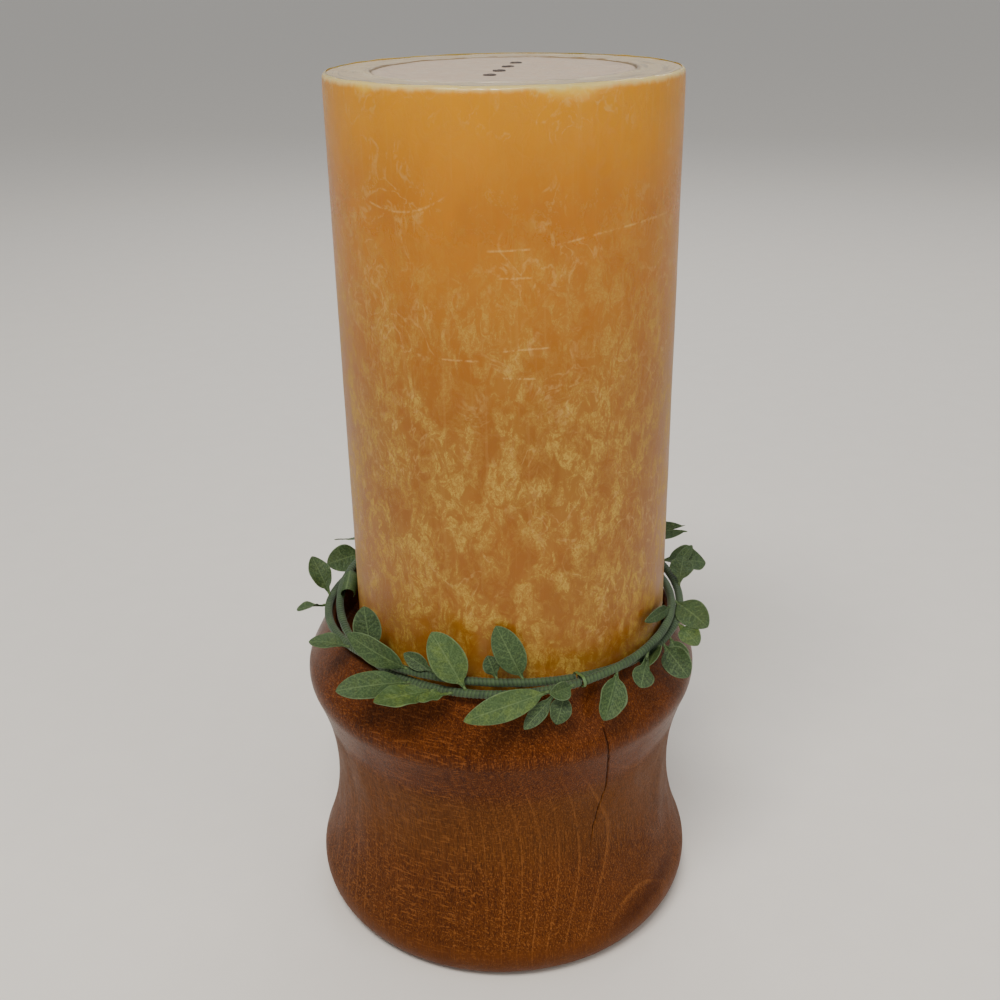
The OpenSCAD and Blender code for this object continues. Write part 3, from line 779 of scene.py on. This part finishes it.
def add_leaf(node, material, form):
    """A thin pressed cloth blade on a short stalk, placed and sized as its CAD leaf is."""
    size = read_leaf(node)
    length, half, bend = size["length"], size["width"] / 2, size["bend"]
    rows, columns = 46, 26
    rng = random.Random(node)
    cup = rng.uniform(0.05, 0.34)
    wave = rng.uniform(0.2, 0.55) * MM
    phase = rng.uniform(0, WHOLE_TURN)
    waves = rng.uniform(1.2, 2.2)
    twist = rng.uniform(-0.3, 0.3)
    run_down = 0.8 * size["stalk"]

    def middle(share, v):
        """A point of the blade's mid-surface in the leaf's own directions, from its base on the stalk, at a
        share of 0, to its tip at 1."""
        along = (length + run_down) * share - run_down
        u = max(0.0, along / length)
        width = half * leaf_half_width(u)
        if u < 0.3:
            wedge = min(1.0, (along + run_down) / (run_down + 0.30 * length))
            width = max(width, 0.5 * MM + 0.50 * half * wedge ** 1.3)
        if form.get("split") and u > 0.5:
            width = max(width, half * (0.75 - 0.40 * u))
            along -= 0.60 * length * (u - 0.5) ** 1.2 * (1 - abs(v - 0.15)) ** 1.5
        y = v * width * (1 + 0.02 * math.sin(9 * u + phase))
        u = max(0.0, along / length)
        swing = math.sin(WHOLE_TURN * waves * u + phase + (1.5 if v > 0 else 0))
        z = cup * v * v * width + wave * abs(v) ** 1.5 * swing
        z *= math.sin(math.pi * min(1, share * 1.02 + 0.02)) if share < 1 else 0
        z -= 0.22 * MM * math.exp(-(v * width / (0.33 * MM)) ** 2) * (1 - u)
        for k in range(1, VEINS + 1):
            start = k / (VEINS + 1.6)
            off = (u - start - 0.24 * abs(v) * (1 - u)) * length
            z -= 0.20 * MM * math.exp(-(off / (0.36 * MM)) ** 2) * min(1, 4 * abs(v)) * (1 - abs(v)) ** 0.35
        if "crease" in form and v > form["crease"]:
            z += (v - form["crease"]) * width
        turn = twist * u
        y, z = y * math.cos(turn) - z * math.sin(turn), y * math.sin(turn) + z * math.cos(turn)
        if along < 0:
            return Vector((size["stalk"] + along, y, z))
        angle = bend * along / length
        centre = length / bend
        reach = centre + z
        return Vector((size["stalk"] + reach * math.sin(angle), y, reach * math.cos(angle) - centre))

    grid = [[middle(i / rows, 2 * k / columns - 1) for k in range(columns + 1)] for i in range(rows + 1)]
    local, place = [], []
    for i in range(rows + 1):
        for k in range(columns + 1):
            a = grid[min(i + 1, rows)][k] - grid[max(i - 1, 0)][k]
            b = grid[i][min(k + 1, columns)] - grid[i][max(k - 1, 0)]
            normal = a.cross(b)
            normal = normal.normalized() if normal.length > 1e-12 else Vector((0, 0, 1))
            v = 2 * k / columns - 1
            edge = CLOTH_T * (0.5 if abs(v) < 0.99 and 0 < i < rows else 0.25)
            for side in (1, -1):
                local.append(grid[i][k] + normal * edge * side)
                place.append((i / rows, v, side))
    faces = []
    wide = columns + 1
    for i in range(rows):
        for k in range(columns):
            near, far = (i * wide + k) * 2, ((i + 1) * wide + k) * 2
            corners = [near, far, far + 2, near + 2]
            faces.append(tuple(corners))
            faces.append(tuple(c + 1 for c in reversed(corners)))
    border = [(i, 0) for i in range(rows)] + [(rows, k) for k in range(columns)]
    border += [(i, columns) for i in range(rows, 0, -1)] + [(0, k) for k in range(columns, 0, -1)]
    for (i, k), (m, o) in zip(border, border[1:] + border[:1]):
        a, b = (i * wide + k) * 2, (m * wide + o) * 2
        faces.append((a, a + 1, b + 1, b))
    add_stalk(local, place, faces, grid, size)
    points = [size["root"] + p.x * size["way"] + p.y * size["across"] + p.z * size["normal"] for p in local]
    piece = new_piece("cloth_" + node, points, faces, material, "leaf_ring", [node])
    write_places(piece, place, local)
    return piece


def add_stalk(local, place, faces, grid, size):
    """A round stalk from the stem, which thins out along the first half of the blade's underside."""
    columns = len(grid[0]) // 2
    spine = [Vector((size["stalk"] * t - 0.4 * MM * (1 - t), 0, 0)) for t in (0, 0.35, 0.7)]
    spine += [grid[i][columns] - Vector((0, 0, 0.10 * MM)) for i in range(0, len(grid) // 2, 3)]
    sides = 10
    start = len(local)
    for i, centre in enumerate(spine):
        r = 0.62 * MM * (1 - 0.82 * i / (len(spine) - 1))
        ahead = (spine[min(i + 1, len(spine) - 1)] - spine[max(i - 1, 0)]).normalized()
        up = Vector((0, 1, 0)).cross(ahead).normalized()
        for k in range(sides):
            t = 2 * math.pi * k / sides
            local.append(centre + r * (math.cos(t) * Vector((0, 1, 0)) + math.sin(t) * up))
            place.append((0.02 * i, 0.0, 1.0))
    for i in range(len(spine) - 1):
        for k in range(sides):
            n = (k + 1) % sides
            a, b = start + i * sides, start + (i + 1) * sides
            faces.append((a + k, b + k, b + n, a + n))
    faces.append(tuple(start + k for k in range(sides)))
    end = start + (len(spine) - 1) * sides
    faces.append(tuple(end + k for k in reversed(range(sides))))


def write_places(piece, place, local):
    """Gives the cloth material each point's place on its blade, and its place across the threads."""
    blade = piece.data.attributes.new("blade", "FLOAT_VECTOR", "POINT")
    blade.data.foreach_set("vector", np.array(place, dtype=np.float32).ravel())
    thread = piece.data.attributes.new("thread", "FLOAT_VECTOR", "POINT")
    slant = [((p.x + p.y) * 0.7071, (p.y - p.x) * 0.7071, 0.0) for p in local]
    thread.data.foreach_set("vector", np.array(slant, dtype=np.float32).ravel())


def add_curled_leaf(material):
    """The leaf that has rolled into a tube: a spiral sheet in lapped bands, with its ends cut back."""
    low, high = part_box("curled_leaf")
    centre = Vector((high.x - 3.3 * MM, 0, high.z - 3.3 * MM))
    front, back = low.y, low.y + 16 * MM
    rows, columns, bands = 60, 70, 6
    local, place, flat = [], [], []
    for i in range(rows + 1):
        u = i / rows
        for k in range(columns + 1):
            v = k / columns
            angle = math.radians(-42 + 275 * v)
            band = (u * bands + 0.5 * v) % 1
            r = (2.90 - 0.50 * v) * MM + 0.42 * MM * band ** 1.5 * min(1, 8 * (1 - band))
            trim = 1.6 * MM * abs(2 * v - 1) ** 1.6
            y = front + trim + (back - front - 2.2 * trim) * u
            r += 0.12 * MM * bumps(r * math.cos(angle), y, r * math.sin(angle), 4 * MM)
            for side in (1, -1):
                edge = r + side * CLOTH_T / 2
                point = Vector((edge * math.cos(angle), y, edge * math.sin(angle)))
                local.append(Vector((centre.x + point.x, y, centre.z + point.z)))
                place.append((u, 2 * v - 1, side))
                flat.append(Vector((y, r * angle, 0)))
    faces = []
    wide = columns + 1
    for i in range(rows):
        for k in range(columns):
            near, far = (i * wide + k) * 2, ((i + 1) * wide + k) * 2
            corners = [near, far, far + 2, near + 2]
            faces.append(tuple(reversed(corners)))
            faces.append(tuple(c + 1 for c in corners))
    border = [(i, 0) for i in range(rows)] + [(rows, k) for k in range(columns)]
    border += [(i, columns) for i in range(rows, 0, -1)] + [(0, k) for k in range(columns, 0, -1)]
    for (i, k), (m, o) in zip(border, border[1:] + border[:1]):
        a, b = (i * wide + k) * 2, (m * wide + o) * 2
        faces.append((a, b, b + 1, a + 1))
    piece = new_piece("cloth_curled_leaf", local, faces, material, "leaf_ring", ["curled_leaf"])
    write_places(piece, place, flat)
    return piece


# ---------------------------------------------------------------- the stage

def look_from(position, pitch, roll):
    """A camera frame that looks along +Y, tipped down by pitch and turned by roll about its view."""
    level, tall = Vector((1, 0, 0)), Vector((0, math.sin(pitch), math.cos(pitch)))
    ahead = Vector((0, math.cos(pitch), -math.sin(pitch)))
    right = math.cos(roll) * level + math.sin(roll) * tall
    up = math.cos(roll) * tall - math.sin(roll) * level
    turn = Matrix((right, up, -ahead)).transposed().to_4x4()
    return Matrix.Translation(position) @ turn


CAMERA_AT = Vector((0.746, -451.64, 384.13)) * MM
CAMERA_PITCH, CAMERA_ROLL, CAMERA_LENS = 0.42708, -0.01729, 43.97


def add_camera():
    data = bpy.data.cameras.new("camera")
    data.sensor_width = 36
    data.lens = CAMERA_LENS
    camera = bpy.data.objects.new("camera", data)
    camera.matrix_world = look_from(CAMERA_AT, CAMERA_PITCH, CAMERA_ROLL)
    bpy.context.collection.objects.link(camera)
    bpy.context.scene.camera = camera


def add_floor():
    n = Nodes("pale_floor")
    tone = n.noise(n.scaled(n.place(), 0.02, 0.02, 0.02), 3)
    n.set(Base_Color=n.mix(tone, (0.84, 0.79, 0.72), (0.88, 0.83, 0.76)), Roughness=0.9)
    mesh = bpy.data.meshes.new("floor")
    mesh.from_pydata([(-30, -30, 0), (30, -30, 0), (30, 30, 0), (-30, 30, 0)], [], [(0, 1, 2, 3)])
    mesh.materials.append(n.material)
    floor = bpy.data.objects.new("floor", mesh)
    bpy.context.collection.objects.link(floor)


def add_light(name, at, towards, size, watts, colour=(1, 1, 1)):
    data = bpy.data.lights.new(name, "AREA")
    data.shape = "RECTANGLE"
    data.size, data.size_y = size
    data.energy = watts
    data.color = colour
    light = bpy.data.objects.new(name, data)
    light.location = at
    light.rotation_euler = (Vector(towards) - Vector(at)).to_track_quat("-Z", "Y").to_euler()
    bpy.context.collection.objects.link(light)


def add_world():
    world = bpy.data.worlds.new("studio")
    world.use_nodes = True
    world.node_tree.nodes["Background"].inputs[0].default_value = (0.93, 0.95, 0.97, 1)
    world.node_tree.nodes["Background"].inputs[1].default_value = 0.44
    bpy.context.scene.world = world


def dress(node, material):
    """Gives a CAD node that is kept as it is its own material."""
    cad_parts[node].data.materials.clear()
    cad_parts[node].data.materials.append(material)


# ---------------------------------------------------------------- the scene

add_camera()
add_floor()
add_world()
add_light("key", (-0.25, -0.75, 1.45), (0, 0, 0.15), (0.7, 0.35), 20, (1, 0.97, 0.92))
add_light("fill", (1.2, -0.9, 0.9), (0, 0, 0.15), (1.0, 1.0), 5, (1, 0.97, 0.93))
add_light("back", (0.2, 1.3, 1.3), (0, 0, 0.25), (1.4, 0.6), 8)

add_holder(turned_wood())
dress("felt_pad", felt())

add_candle_skin(dipped_wax())
add_candle_shell(poured_wax("shell_wax", (0.43, 0.315, 0.150), (0.34, 0.240, 0.110), (0.66, 0.56, 0.36)))
add_candle_core(poured_wax("core_wax", (0.47, 0.330, 0.205), (0.40, 0.270, 0.165), (0.60, 0.46, 0.31)))
cotton = wick_cotton()
for index, wick_x, wick_y in wick_places():
    add_wick(index, wick_x, wick_y, cotton)
tab_tin = tin_plate("tab_tin", (0.72, 0.72, 0.70), 0.30)
drawn_wire = tin_plate("drawn_wire", (0.40, 0.40, 0.41), 0.35)
for index in range(WICK_COUNT):
    dress(f"wick_tab_{index + 1}", tab_tin)
dress("strand_wire_a", drawn_wire)
dress("strand_wire_b", drawn_wire)

tape = stem_tape()
add_strand("a", 1, tape)
add_strand("b", -1, tape)
add_tie(tie_green())

deep_cloth = leaf_cloth("leaf_deep", (0.018, 0.044, 0.013), (0.009, 0.024, 0.008), 0.05)
mid_cloth = leaf_cloth("leaf_mid", (0.029, 0.066, 0.019), (0.013, 0.034, 0.011), 0.18)
gold_cloth = leaf_cloth("leaf_gold", (0.044, 0.090, 0.020), (0.020, 0.048, 0.012), 0.60)
GOLD_LEAVES = ("leaf_08", "leaf_10", "leaf_11", "leaf_14", "leaf_25")
DEEP_LEAVES = ("leaf_05", "leaf_09", "leaf_12", "leaf_15", "leaf_17", "leaf_19", "leaf_22", "leaf_23")
LEAF_FORMS = {"leaf_18": {"crease": 0.25}, "leaf_16": {"crease": 0.3}, "leaf_29": {"split": True}}
cloths = dict.fromkeys(GOLD_LEAVES, gold_cloth) | dict.fromkeys(DEEP_LEAVES, deep_cloth)
for leaf_node in sorted(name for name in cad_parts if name.startswith("leaf_")):
    add_leaf(leaf_node, cloths.get(leaf_node, mid_cloth), LEAF_FORMS.get(leaf_node, {}))
add_curled_leaf(mid_cloth)
